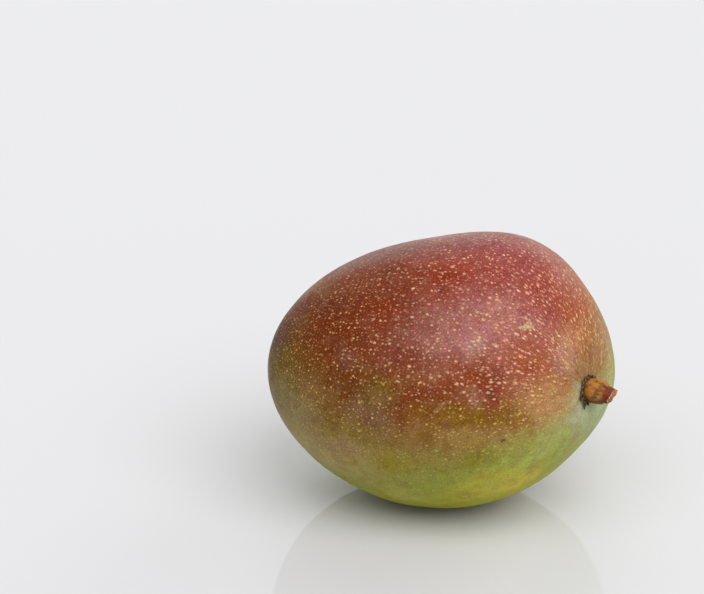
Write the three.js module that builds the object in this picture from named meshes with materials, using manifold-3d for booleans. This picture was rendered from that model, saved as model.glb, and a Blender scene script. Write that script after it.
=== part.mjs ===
// A mango lying on its side: one large, round-shouldered fruit, the short stem it was cut with,
// and the dried calyx round the stem's foot. Millimetres, +Z up.
//
// The fruit's length runs along X, with the stem at the +X end. The origin is on the surface
// that the fruit rests on, under the middle of the whole part's box.

import * as THREE from 'three';
import { mergeVertices } from 'three/addons/utils/BufferGeometryUtils.js';
import Module from 'manifold-3d';

const wasm = await Module();
wasm.setup();

// ---------------------------------------------------------------- driving dimensions

const HALF_LENGTH = 57;
const HALF_WIDTH = 47.7;
const HALF_HEIGHT = 43;
const STEM_END_WIDENING = 0.01; // extra girth at the stem end, as a share of the middle's

// Where the fruit swells out of the plain egg, or sinks into it (a height below 0). A place is
// given by two angles in degrees: "from" the stem end of the long axis, and "round" that axis,
// counted from +Y over the top. A spread is the swell's own radius in radians: "along" the
// fruit's length and "across" it.
const SWELLS = {
  shoulder: { from: 68, round: 75, height: 7.2, along: 0.33, across: 0.62 },
  cheek: { from: 104, round: -120, height: 3.1, along: 0.55, across: 0.55 },
  farBelly: { from: 129, round: 166, height: 8.8, along: 0.55, across: 0.55 },
  stemSideHollow: { from: 31, round: -111, height: -2.9, along: 0.31, across: 0.31 },
  stemBasin: { from: 18, round: 157, height: -1.7, along: 0.38, across: 0.38 },
  stemDimple: { from: 18, round: 157, height: -1.4, along: 0.14, across: 0.14 },
};
const STEM_SEAT = SWELLS.stemDimple;

const REST_SPOT_DEPTH = 0.6; // how far the flat spot underneath is cut into the round skin

const STEM_HEADING = -20; // degrees from +X, in plan; the stem points level
const STEM_ROOT_DEPTH = 4;
const STEM_ROOT_RADIUS = 3.5;
const STEM_KNUCKLE_RADIUS = 3.95;
const STEM_KNUCKLE_HEIGHT = 2.8;
const STEM_COLLAR_RADIUS = 3.75;
const STEM_COLLAR_HEIGHT = 4.8;
const STEM_NECK_RADIUS = 3.05;
const STEM_NECK_HEIGHT = 6.5;
const STEM_END_RADIUS = 2.5;
const STEM_LENGTH = 9.3; // from the skin to the middle of the cut
const STEM_CUT_ANGLE = 24; // degrees that the cut leans back, on the underside
const STEM_FLUTES = [
  { count: 3, depth: 0.035, twist: 0.02 },
  { count: 7, depth: 0.02, twist: -0.05 },
];

const CALYX_INNER_RADIUS = 4.2;
const CALYX_WIDTH = 0.5;
const CALYX_THICKNESS = 0.55;
const CALYX_SCALES = 11;
const CALYX_SCALE_REACH = 0.9;
const CALYX_SEED = 20;
const DEAD_SCALE = { round: -128, reach: 2.1, halfWidth: 0.14, lift: 1.2 }; // it hangs away

const FIT_GAP = 0.3; // clearance kept between pieces that touch

// Facets: the rings crowd towards the stem, where the form is finest.
const FRUIT_SLICES = 64;
const FRUIT_RINGS = 48;
const RING_CROWDING = 1.4;
const STEM_SLICES = 32;
const STEM_ROWS = 20;
const CALYX_SLICES = 96;
const CALYX_SIDES = 8;

const PROBE = 1e-3; // radians; the step that a skin normal is measured over
const SEAT_PROBE = 0.1; // radians; the step that the skin round the stem's seat is measured over

// ---------------------------------------------------------------- helpers

const radians = THREE.MathUtils.degToRad;

/** Unit vector `from` degrees off the stem end of the long axis and `round` degrees about it. */
function direction(from, round) {
  const across = Math.sin(radians(from));
  return new THREE.Vector3(
    Math.cos(radians(from)),
    across * Math.cos(radians(round)),
    across * Math.sin(radians(round)),
  );
}

/** Random numbers from 0 to 1 that are the same on every run. */
function seededRandom(seed) {
  let state = seed;
  return () => {
    state = (state * 1664525 + 1013904223) % 4294967296;
    return state / 4294967296;
  };
}

/** Keeps a geometry's positions alone and joins the vertices that share a place. */
function welded(geometry) {
  geometry.deleteAttribute('normal');
  geometry.deleteAttribute('uv');
  return mergeVertices(geometry, 1e-4);
}

/** Moves every vertex of a geometry by a rule that changes the vector it is given. */
function reshape(geometry, rule) {
  const position = geometry.getAttribute('position');
  const vertex = new THREE.Vector3();
  for (let i = 0; i < position.count; i += 1) {
    vertex.fromBufferAttribute(position, i);
    rule(vertex);
    position.setXYZ(i, vertex.x, vertex.y, vertex.z);
  }
  return geometry;
}

/** A closed, welded geometry as a solid that can be cut. */
function toSolid(geometry) {
  return new wasm.Manifold(new wasm.Mesh({
    numProp: 3,
    vertProperties: new Float32Array(geometry.getAttribute('position').array),
    triVerts: new Uint32Array(geometry.getIndex().array),
  }));
}

/** A solid as a geometry again. */
function toGeometry(solid) {
  const mesh = solid.getMesh();
  const geometry = new THREE.BufferGeometry();
  geometry.setAttribute('position', new THREE.BufferAttribute(mesh.vertProperties, 3));
  geometry.setIndex(new THREE.BufferAttribute(mesh.triVerts, 1));
  geometry.computeVertexNormals();
  return geometry;
}

function namedMesh(name, geometry, look) {
  const mesh = new THREE.Mesh(geometry, new THREE.MeshStandardMaterial(look));
  mesh.name = name;
  return mesh;
}

// ---------------------------------------------------------------- the skin's form

const SWELL_LIST = Object.values(SWELLS).map((swell) => ({
  ...swell,
  centre: direction(swell.from, swell.round),
}));

/** Share of a swell's height that a unit direction gets: 1 at its centre, fading to 0. */
function swellShare(swell, way) {
  const alongGap = (way.x - swell.centre.x) ** 2;
  const acrossGap = way.distanceToSquared(swell.centre) - alongGap;
  return Math.exp(-0.5 * (alongGap / swell.along ** 2 + acrossGap / swell.across ** 2));
}

/** The point of the skin that belongs to a unit direction from the fruit's middle. */
function skinPoint(way) {
  const girth = 1 + STEM_END_WIDENING * way.x;
  const point = new THREE.Vector3(
    HALF_LENGTH * way.x,
    HALF_WIDTH * girth * way.y,
    HALF_HEIGHT * girth * way.z,
  );
  for (const swell of SWELL_LIST) {
    point.addScaledVector(swell.centre, swell.height * swellShare(swell, way));
  }
  return point;
}

/** The skin's outward normal at a unit direction. */
function skinNormal(way) {
  const start = skinPoint(way);
  const side = new THREE.Vector3().crossVectors(way, new THREE.Vector3(0, 0, 1)).normalize();
  const over = new THREE.Vector3().crossVectors(side, way);
  const steps = [side, over].map((step) => {
    const near = way.clone().addScaledVector(step, PROBE).normalize();
    return skinPoint(near).sub(start);
  });
  const normal = new THREE.Vector3().crossVectors(steps[0], steps[1]).normalize();
  return normal.dot(way) < 0 ? normal.negate() : normal;
}

const seatWay = direction(STEM_SEAT.from, STEM_SEAT.round);
const seatPoint = skinPoint(seatWay);
const seatTurn = new THREE.Quaternion().setFromUnitVectors(new THREE.Vector3(0, 1, 0), seatWay);
const stemAxis = new THREE.Vector3(
  Math.cos(radians(STEM_HEADING)),
  Math.sin(radians(STEM_HEADING)),
  0,
);

/** Unit direction at an angle from the stem's seat and an angle round it, both in radians. */
function wayFromSeat(away, round) {
  const spread = Math.sin(away);
  return new THREE.Vector3(
    -spread * Math.cos(round),
    Math.cos(away),
    spread * Math.sin(round),
  ).applyQuaternion(seatTurn);
}

/** Unit direction of the skin point at a distance from the seat, in millimetres. */
function wayAtReach(reach, round) {
  const skinPerRadian = skinPoint(wayFromSeat(SEAT_PROBE, round)).distanceTo(seatPoint) / SEAT_PROBE;
  return wayFromSeat(reach / skinPerRadian, round);
}

// ---------------------------------------------------------------- fruit

/** Whole round fruit, with the sphere's pole at the stem's seat. */
function makeFlesh() {
  const ball = welded(new THREE.SphereGeometry(1, FRUIT_SLICES, FRUIT_RINGS));
  return reshape(ball, (vertex) => {
    const away = Math.acos(THREE.MathUtils.clamp(vertex.y, -1, 1));
    const crowded = Math.PI * (away / Math.PI) ** RING_CROWDING;
    const round = Math.atan2(vertex.z, -vertex.x);
    vertex.copy(skinPoint(wayFromSeat(crowded, round)));
  });
}

/** Block whose top face cuts the flat spot that the fruit rests on. */
function makeRestCutter(lowest) {
  const size = 4 * HALF_LENGTH;
  const block = welded(new THREE.BoxGeometry(size, size, size));
  return block.translate(0, 0, lowest + REST_SPOT_DEPTH - size / 2);
}

/** Plug along the stem, which cuts the blind hole that the stem stands in. */
function makeSocketCutter() {
  const depth = STEM_ROOT_DEPTH + FIT_GAP;
  const radius = STEM_ROOT_RADIUS + FIT_GAP;
  const plug = welded(new THREE.CylinderGeometry(radius, radius, 2 * depth, STEM_SLICES));
  return alongStem(plug);
}

/** Stands a geometry made along +Y from the seat on the fruit, along the stem. */
function alongStem(geometry) {
  const turn = new THREE.Quaternion().setFromUnitVectors(new THREE.Vector3(0, 1, 0), stemAxis);
  geometry.applyQuaternion(turn);
  return geometry.translate(seatPoint.x, seatPoint.y, seatPoint.z);
}

function makeFruit() {
  const flesh = makeFlesh();
  flesh.computeBoundingBox();
  const solid = toSolid(flesh)
    .subtract(toSolid(makeRestCutter(flesh.boundingBox.min.z)))
    .subtract(toSolid(makeSocketCutter()));
  return toGeometry(solid);
}

// ---------------------------------------------------------------- stem

/** The stem's half outline, as radius and height, from its root to its cut end. */
const stemOutline = new THREE.SplineCurve([
  new THREE.Vector2(STEM_ROOT_RADIUS, -STEM_ROOT_DEPTH),
  new THREE.Vector2(STEM_ROOT_RADIUS, 0),
  new THREE.Vector2(STEM_KNUCKLE_RADIUS, STEM_KNUCKLE_HEIGHT),
  new THREE.Vector2(STEM_COLLAR_RADIUS, STEM_COLLAR_HEIGHT),
  new THREE.Vector2(STEM_NECK_RADIUS, STEM_NECK_HEIGHT),
  new THREE.Vector2(STEM_END_RADIUS, STEM_LENGTH),
]);

/** Share by which the flutes widen or narrow the stem at a height and an angle. */
function fluting(height, round) {
  const aboveSkin = THREE.MathUtils.smoothstep(height, 0, STEM_KNUCKLE_HEIGHT);
  const wave = STEM_FLUTES.reduce(
    (sum, flute) => sum + flute.depth * Math.cos(flute.count * (round + flute.twist * height)),
    0,
  );
  return 1 + aboveSkin * wave;
}

/** Fat knuckle next to the fruit, a narrower neck and a slanting cut end. */
function makeStem() {
  const rod = welded(new THREE.CylinderGeometry(1, 1, 1, STEM_SLICES, STEM_ROWS));
  const lean = Math.tan(radians(STEM_CUT_ANGLE));
  reshape(rod, (vertex) => {
    const spot = stemOutline.getPoint(THREE.MathUtils.clamp(vertex.y + 0.5, 0, 1));
    const share = fluting(spot.y, Math.atan2(vertex.z, vertex.x));
    vertex.x *= spot.x * share;
    vertex.z *= spot.x * share;
    const nearCut = THREE.MathUtils.smoothstep(spot.y, STEM_KNUCKLE_HEIGHT, STEM_LENGTH);
    vertex.y = spot.y + nearCut * lean * vertex.z;
  });
  return alongStem(rod);
}

// ---------------------------------------------------------------- calyx

/** The dried scales round the stem: an angle, a reach and a half width for each. */
function drawScales() {
  const random = seededRandom(CALYX_SEED);
  const pitch = (2 * Math.PI) / CALYX_SCALES;
  const scales = [];
  for (let i = 0; i < CALYX_SCALES; i += 1) {
    scales.push({
      round: (i + 0.6 * random()) * pitch,
      reach: CALYX_SCALE_REACH * (0.35 + 0.65 * random()),
      halfWidth: pitch * (0.3 + 0.25 * random()),
      lift: 0.5 * random(),
    });
  }
  scales.push({ ...DEAD_SCALE, round: radians(DEAD_SCALE.round) });
  return scales;
}

/** How far the scales reach out, and how much they lift off the skin, at an angle. */
function scaleEdge(scales, round) {
  return scales.reduce((edge, scale) => {
    const turn = Math.atan2(Math.sin(round - scale.round), Math.cos(round - scale.round));
    const share = Math.exp(-((turn / scale.halfWidth) ** 2));
    return {
      reach: Math.max(edge.reach, scale.reach * share),
      lift: Math.max(edge.lift, scale.lift * share),
    };
  }, { reach: 0, lift: 0 });
}

/** Thin ragged ring of dried scales that lies on the skin round the stem's foot. */
function makeCalyx() {
  const scales = drawScales();
  const ring = welded(new THREE.TorusGeometry(1, 0.5, CALYX_SIDES, CALYX_SLICES));
  return reshape(ring, (vertex) => {
    const round = Math.atan2(vertex.y, vertex.x);
    const outward = Math.hypot(vertex.x, vertex.y) - 1;
    const edge = scaleEdge(scales, round);
    const share = 0.5 + outward; // 0 at the ring's inner edge, 1 at its outer edge
    const radius = CALYX_INNER_RADIUS + share * (CALYX_WIDTH + edge.reach);
    const curl = edge.lift * share ** 2;
    const height = FIT_GAP + CALYX_THICKNESS * (0.5 + vertex.z) + curl;
    const way = wayAtReach(radius, round);
    vertex.copy(skinPoint(way)).addScaledVector(skinNormal(way), height);
  });
}

// ---------------------------------------------------------------- assembly

const mango = new THREE.Group();
mango.add(
  namedMesh('fruit', makeFruit(), { color: 0x96583f, roughness: 0.42, metalness: 0 }),
  namedMesh('stem', makeStem(), { color: 0x9a6a38, roughness: 0.8, metalness: 0 }),
  namedMesh('calyx', makeCalyx(), { color: 0x33231a, roughness: 0.9, metalness: 0 }),
);

const box = new THREE.Box3().setFromObject(mango);
const middle = box.getCenter(new THREE.Vector3());
mango.position.set(-middle.x, -middle.y, -box.min.z);

export default mango;
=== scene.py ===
"""Looks of a whole mango lying on its side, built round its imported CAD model.

Metres, +Z up. The fruit's length runs along X, with the cut stem at the +X end, and the origin
is on the surface under the middle of the whole part's box. Patterns are laid out in millimetres
of the same frame.
"""

import logging
import math
import random
from collections.abc import Callable, Iterator
from contextlib import contextmanager
from dataclasses import dataclass
from enum import Enum

import bpy
from mathutils import Matrix, Vector
from mathutils.bvhtree import BVHTree


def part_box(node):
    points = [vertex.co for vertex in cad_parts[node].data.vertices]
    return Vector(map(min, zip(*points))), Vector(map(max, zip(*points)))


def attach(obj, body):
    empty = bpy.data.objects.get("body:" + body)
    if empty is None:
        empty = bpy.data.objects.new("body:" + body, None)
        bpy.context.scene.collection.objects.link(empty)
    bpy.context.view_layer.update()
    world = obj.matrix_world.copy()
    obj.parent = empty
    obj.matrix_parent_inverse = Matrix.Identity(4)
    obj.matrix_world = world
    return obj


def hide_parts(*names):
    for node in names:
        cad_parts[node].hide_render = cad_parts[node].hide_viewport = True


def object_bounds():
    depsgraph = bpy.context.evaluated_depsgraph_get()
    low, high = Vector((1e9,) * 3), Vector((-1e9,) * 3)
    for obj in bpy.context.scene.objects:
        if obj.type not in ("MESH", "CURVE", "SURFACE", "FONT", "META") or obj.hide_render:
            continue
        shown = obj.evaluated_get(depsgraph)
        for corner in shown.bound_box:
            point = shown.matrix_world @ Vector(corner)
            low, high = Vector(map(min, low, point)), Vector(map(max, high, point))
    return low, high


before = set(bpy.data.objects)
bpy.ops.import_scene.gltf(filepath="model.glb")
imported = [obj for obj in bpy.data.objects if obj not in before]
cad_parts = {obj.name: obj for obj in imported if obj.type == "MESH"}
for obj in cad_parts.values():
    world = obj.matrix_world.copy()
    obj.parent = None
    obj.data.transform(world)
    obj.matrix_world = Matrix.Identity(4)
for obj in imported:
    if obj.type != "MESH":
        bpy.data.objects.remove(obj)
cad_box = [list(corner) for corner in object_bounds()]

log = logging.getLogger("mango")

MM = 0.001
BODY = "root"
STEM_ROOT_DEPTH = 4 * MM

Colour = tuple[float, float, float]
Place = tuple[float, float, float]
Span = tuple[float, float]
Piece = bpy.types.Object
Material = bpy.types.Material
Socket = bpy.types.NodeSocket
Tree = bpy.types.NodeTree
Feed = Socket | float | tuple[float, ...]


# ------------------------------------------------------------------ where things are


@dataclass(frozen=True)
class StemLine:
    """The stem's line: where it leaves the skin, and the way that it points."""

    seat: Vector
    axis: Vector

    @classmethod
    def from_frame(cls, heading_deg: float = -20.0) -> "StemLine":
        """Finds the stem's line from its CAD node.

        Args:
            heading_deg: Direction of the level stem in plan, in degrees from +X.

        Returns:
            The line, with its seat on the fruit's skin.
        """
        heading = math.radians(heading_deg)
        axis = Vector((math.cos(heading), math.sin(heading), 0))
        points = [vertex.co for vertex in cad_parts["stem"].data.vertices]
        lowest = min(point.dot(axis) for point in points)
        root_ring = [point for point in points if point.dot(axis) < lowest + 0.2 * MM]
        root = sum(root_ring, Vector()) / len(root_ring)
        return cls(seat=root + axis * STEM_ROOT_DEPTH, axis=axis)

    def stand(self) -> Matrix:
        """Gives the turn and place that put +Z on the stem's line, and +Y upwards.

        Returns:
            The placement, from the stem's own axes to the frame.
        """
        up = Vector((0, 0, 1))
        turn = Matrix((up.cross(self.axis), up, self.axis)).transposed()
        return Matrix.Translation(self.seat) @ turn.to_4x4()

    def outward(self, round_deg: float) -> Vector:
        """Gives the direction straight out from the stem at an angle round it."""
        angle = math.radians(round_deg)
        return self.stand().to_3x3() @ Vector((math.cos(angle), math.sin(angle), 0))

    def seat_mm(self) -> Place:
        """Gives the seat in millimetres, for patterns."""
        return tuple(self.seat / MM)


# ------------------------------------------------------------------ mesh helpers


class Relief(Enum):
    """Characters of relief that a surface is roughened with."""

    SOFT_LUMPS = "CLOUDS"
    CREASED = "STUCCI"


class Element(Enum):
    """Parts of a mesh that are selected."""

    VERTEX = "VERT"
    FACE = "FACE"


def deselect_all() -> None:
    """Leaves object mode with nothing selected."""
    if bpy.context.object and bpy.context.object.mode != "OBJECT":
        bpy.ops.object.mode_set(mode="OBJECT")
    bpy.ops.object.select_all(action="DESELECT")


def make_active(piece: Piece) -> None:
    """Selects one piece alone and makes it the active one.

    Args:
        piece: The piece.
    """
    deselect_all()
    piece.select_set(True)
    bpy.context.view_layer.objects.active = piece


def apply_modifier(piece: Piece, kind: str, **settings: object) -> None:
    """Adds one modifier to a piece and applies it.

    Args:
        piece: The piece to change.
        kind: Blender's name of the modifier's type.
        settings: The modifier's own settings.
    """
    make_active(piece)
    modifier = piece.modifiers.new(kind.title(), kind)
    for name, value in settings.items():
        setattr(modifier, name, value)
    bpy.ops.object.modifier_apply(modifier=modifier.name)


def roughen(piece: Piece, kind: Relief, size: float, depth: float, middle: float = 0.5) -> None:
    """Pushes a piece's surface in and out by a solid noise.

    Args:
        piece: The piece to change.
        kind: The noise's character.
        size: Size of the lumps, in millimetres.
        depth: Full height of the relief, in millimetres.
        middle: Noise level that leaves the surface where it is.
    """
    texture = bpy.data.textures.new(f"{piece.name}_{kind.value.lower()}", kind.value)
    texture.noise_scale = size * MM
    apply_modifier(piece, "DISPLACE", texture=texture, strength=depth * MM, mid_level=middle)
    bpy.data.textures.remove(texture)


@contextmanager
def editing(
    piece: Piece, kind: Element, wanted: Callable[[Vector, Vector], bool] | None = None
) -> Iterator[int]:
    """Opens a piece in edit mode with all or some of it selected, and closes it again.

    Args:
        piece: The piece to edit.
        kind: What is selected in it.
        wanted: Says of a place and a normal whether they are selected. Without it, all are.

    Returns:
        A context that gives how many elements are selected.
    """
    make_active(piece)
    bpy.ops.object.mode_set(mode="EDIT")
    bpy.ops.mesh.select_mode(type=kind.value)
    bpy.ops.mesh.select_all(action="DESELECT" if wanted else "SELECT")
    bpy.ops.object.mode_set(mode="OBJECT")
    by_face = kind is Element.FACE
    elements = piece.data.polygons if by_face else piece.data.vertices
    for element in elements if wanted else ():
        element.select = wanted(element.center if by_face else element.co, element.normal)
    count = sum(element.select for element in elements)
    bpy.ops.object.mode_set(mode="EDIT")
    yield count
    bpy.ops.object.mode_set(mode="OBJECT")


def place_in_mesh(piece: Piece) -> None:
    """Moves a piece's place, turn and scale into its mesh."""
    make_active(piece)
    bpy.ops.object.transform_apply(location=True, rotation=True, scale=True)


def primitive(operator: Callable[..., set[str]], name: str, **settings: object) -> Piece:
    """Adds one of Blender's primitives, with its place and turn in its mesh.

    Args:
        operator: The operator that adds it.
        name: The piece's name.
        settings: The operator's own settings.

    Returns:
        The piece.
    """
    deselect_all()
    operator(**settings)
    piece = bpy.context.object
    piece.name = name
    place_in_mesh(piece)
    return piece


def own_copy(piece: Piece, name: str) -> Piece:
    """Copies a piece, with a mesh of its own.

    Args:
        piece: The piece to copy.
        name: The copy's name.

    Returns:
        The copy.
    """
    copy = bpy.data.objects.new(name, piece.data.copy())
    bpy.context.scene.collection.objects.link(copy)
    return copy


def joined(pieces: list[Piece], name: str) -> Piece:
    """Joins pieces into the first one and names it.

    Args:
        pieces: The pieces.
        name: Name of the whole.

    Returns:
        The whole.
    """
    deselect_all()
    for piece in pieces:
        piece.select_set(True)
    bpy.context.view_layer.objects.active = pieces[0]
    bpy.ops.object.join()
    pieces[0].name = name
    return pieces[0]


def smooth_shade(piece: Piece, limit_deg: float = 180.0) -> None:
    """Shades a piece smooth, with creases only where faces meet at more than an angle.

    Args:
        piece: The piece.
        limit_deg: The angle, in degrees.
    """
    make_active(piece)
    bpy.ops.object.shade_smooth()
    if limit_deg < 180:
        bpy.ops.object.shade_smooth_by_angle(angle=math.radians(limit_deg))


# ------------------------------------------------------------------ material nodes


class Coat(Enum):
    """Ways that a colour goes over another."""

    OVER = "MIX"
    TINT = "MULTIPLY"


class NodeBench:
    """Places nodes in one tree and joins them."""

    def __init__(self, tree: Tree) -> None:
        """Starts work on a tree."""
        self.tree = tree

    def feed(self, socket: Socket, value: Feed) -> None:
        """Links a socket to another one, or sets its value.

        Args:
            socket: The socket to feed.
            value: The other socket, or the value.
        """
        if isinstance(value, Socket):
            self.tree.links.new(value, socket)
        else:
            socket.default_value = value

    def add(self, kind: str, feeds: dict[str | int, Feed], **settings: object) -> bpy.types.Node:
        """Adds one node.

        Args:
            kind: The node's type, without its "ShaderNode" beginning.
            feeds: A value or a socket for each input, by its name or its number.
            settings: The node's own settings.

        Returns:
            The node.
        """
        node = self.tree.nodes.new(f"ShaderNode{kind}")
        for name, value in settings.items():
            setattr(node, name, value)
        for key, value in feeds.items():
            self.feed(node.inputs[key], value)
        return node

    def use(self, group: Tree, label: str, **feeds: Feed) -> bpy.types.Node:
        """Places a node group.

        Args:
            group: The group.
            label: The label on its node.
            feeds: A value or a socket for each input.

        Returns:
            The group's node.
        """
        node = self.add("Group", {}, node_tree=group, label=label)
        for name, value in feeds.items():
            self.feed(node.inputs[name], value)
        return node

    def math(self, operation: str, *values: Feed) -> Socket:
        """Works out one number from others."""
        return self.add("Math", dict(enumerate(values)), operation=operation).outputs[0]

    def vector(self, operation: str, *values: Feed) -> Socket:
        """Works out one vector, or a number that measures one, from vectors.

        Args:
            operation: Blender's name of the sum.
            values: The vectors.

        Returns:
            The vector or the number.
        """
        node = self.add("VectorMath", dict(enumerate(values)), operation=operation)
        measures = operation in ("DOT_PRODUCT", "LENGTH", "DISTANCE")
        return node.outputs["Value" if measures else "Vector"]

    def scale(self, vector: Feed, factor: Feed) -> Socket:
        """Makes a vector longer or shorter."""
        feeds = {"Vector": vector, "Scale": factor}
        return self.add("VectorMath", feeds, operation="SCALE").outputs["Vector"]

    def push(self, point: Feed, way: Feed, factor: Feed) -> Socket:
        """Moves a place along a vector times a factor."""
        return self.vector("ADD", point, self.scale(way, factor))

    def split(self, vector: Feed, axis: Feed) -> tuple[Socket, Socket]:
        """Splits a vector into its length along an axis and the part square to the axis."""
        along = self.vector("DOT_PRODUCT", vector, axis)
        return along, self.vector("SUBTRACT", vector, self.scale(axis, along))

    def part(self, vector: Feed, number: int) -> Socket:
        """Gives one part of a vector: 0 for X, 1 for Y and 2 for Z."""
        return self.add("SeparateXYZ", {0: vector}).outputs[number]

    def ease(
        self, value: Feed, start: Feed, end: Feed, low: Feed = 0.0, high: Feed = 1.0
    ) -> Socket:
        """Goes softly from low to high while a value goes from start to end."""
        feeds = {"Value": value, "From Min": start, "From Max": end, "To Min": low, "To Max": high}
        return self.add("MapRange", feeds, interpolation_type="SMOOTHSTEP").outputs["Result"]

    def blend(self, amount: Feed, first: Feed, second: Feed, coat: Coat = Coat.OVER) -> Socket:
        """Mixes two colours.

        Args:
            amount: Share of the second colour.
            first: The colour underneath.
            second: The colour on top.
            coat: The way that they mix.

        Returns:
            The mixed colour.
        """
        feeds = {0: amount, 6: rgba(first), 7: rgba(second)}
        node = self.add("Mix", feeds, data_type="RGBA", blend_type=coat.value, clamp_factor=True)
        return node.outputs[2]

    def noise(self, point: Feed, size: float, detail: float) -> bpy.types.Node:
        """Adds a solid noise, with lumps of a size in millimetres and finer layers on them."""
        feeds = {"Vector": point, "Scale": 1 / size, "Detail": detail}
        return self.add("TexNoise", feeds)

    def level(self, point: Feed, size: float, detail: float) -> Socket:
        """Gives the level, from 0 to 1, of a solid noise."""
        return self.noise(point, size, detail).outputs["Fac"]

    def drift(self, point: Feed, size: float, detail: float) -> Socket:
        """Gives a vector that wanders with a solid noise, and is zero on the whole."""
        wander = self.noise(point, size, detail).outputs["Color"]
        return self.vector("SUBTRACT", wander, (0.5, 0.5, 0.5))


def rgba(colour: Feed) -> Feed:
    """Gives a colour its opacity, and leaves a socket as it is."""
    return (*colour, 1.0) if isinstance(colour, tuple) and len(colour) == 3 else colour


class Canvas(NodeBench):
    """Paints one material coat by coat, in millimetres of the frame."""

    def __init__(self, name: str, specular: float) -> None:
        """Starts a material.

        Args:
            name: The material's name.
            specular: Strength of its shine.
        """
        self.material = bpy.data.materials.new(name)
        self.material.use_nodes = True
        super().__init__(self.material.node_tree)
        self.shader = self.tree.nodes["Principled BSDF"]
        self.shader.inputs["Specular IOR Level"].default_value = specular
        self.point = self.scale(self.add("TexCoord", {}).outputs["Object"], 1 / MM)
        self.colour: Feed = (0.0, 0.0, 0.0)

    def surface_normal(self) -> Socket:
        """Gives the way that the surface faces."""
        return self.add("NewGeometry", {}).outputs["Normal"]

    def paint(self, amount: Feed, colour: Feed, coat: Coat = Coat.OVER) -> None:
        """Lays a coat over the colour so far."""
        self.colour = self.blend(amount, self.colour, colour, coat)

    def finish(self, roughness: Feed, height: Feed, strength: float, depth: float) -> Material:
        """Feeds the shader with the colour so far, a roughness and a relief.

        Args:
            roughness: How matt the surface is.
            height: Level of the relief.
            strength: How strongly the relief shades.
            depth: Height that a level of 1 stands for.

        Returns:
            The material.
        """
        bump = self.add("Bump", {"Strength": strength, "Distance": depth, "Height": height})
        self.feed(self.shader.inputs["Base Color"], self.colour)
        self.feed(self.shader.inputs["Roughness"], roughness)
        self.feed(self.shader.inputs["Normal"], bump.outputs["Normal"])
        return self.material


class Kind(Enum):
    """Kinds of socket on a node group."""

    NUMBER = "NodeSocketFloat"
    VECTOR = "NodeSocketVector"


class GroupBench(NodeBench):
    """Builds one node group with named inputs and outputs."""

    def __init__(
        self, name: str, vectors: tuple[str, ...], numbers: tuple[str, ...], gives: tuple[str, ...]
    ) -> None:
        """Starts a group.

        Args:
            name: The group's name.
            vectors: Names of the inputs that are vectors.
            numbers: Names of the inputs that are numbers.
            gives: Names of the outputs, which are numbers.
        """
        super().__init__(bpy.data.node_groups.new(name, "ShaderNodeTree"))
        sides = (
            (vectors, "INPUT", Kind.VECTOR),
            (numbers, "INPUT", Kind.NUMBER),
            (gives, "OUTPUT", Kind.NUMBER),
        )
        for labels, side, kind in sides:
            for label in labels:
                self.tree.interface.new_socket(label, in_out=side, socket_type=kind.value)
        self.taken = self.tree.nodes.new("NodeGroupInput").outputs
        self.given = self.tree.nodes.new("NodeGroupOutput").inputs

    def give(self, **results: Socket) -> Tree:
        """Joins the results to the outputs and hands the group over.

        Args:
            results: A socket for each output.

        Returns:
            The finished group.
        """
        for name, socket in results.items():
            self.tree.links.new(socket, self.given[name])
        return self.tree


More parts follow.
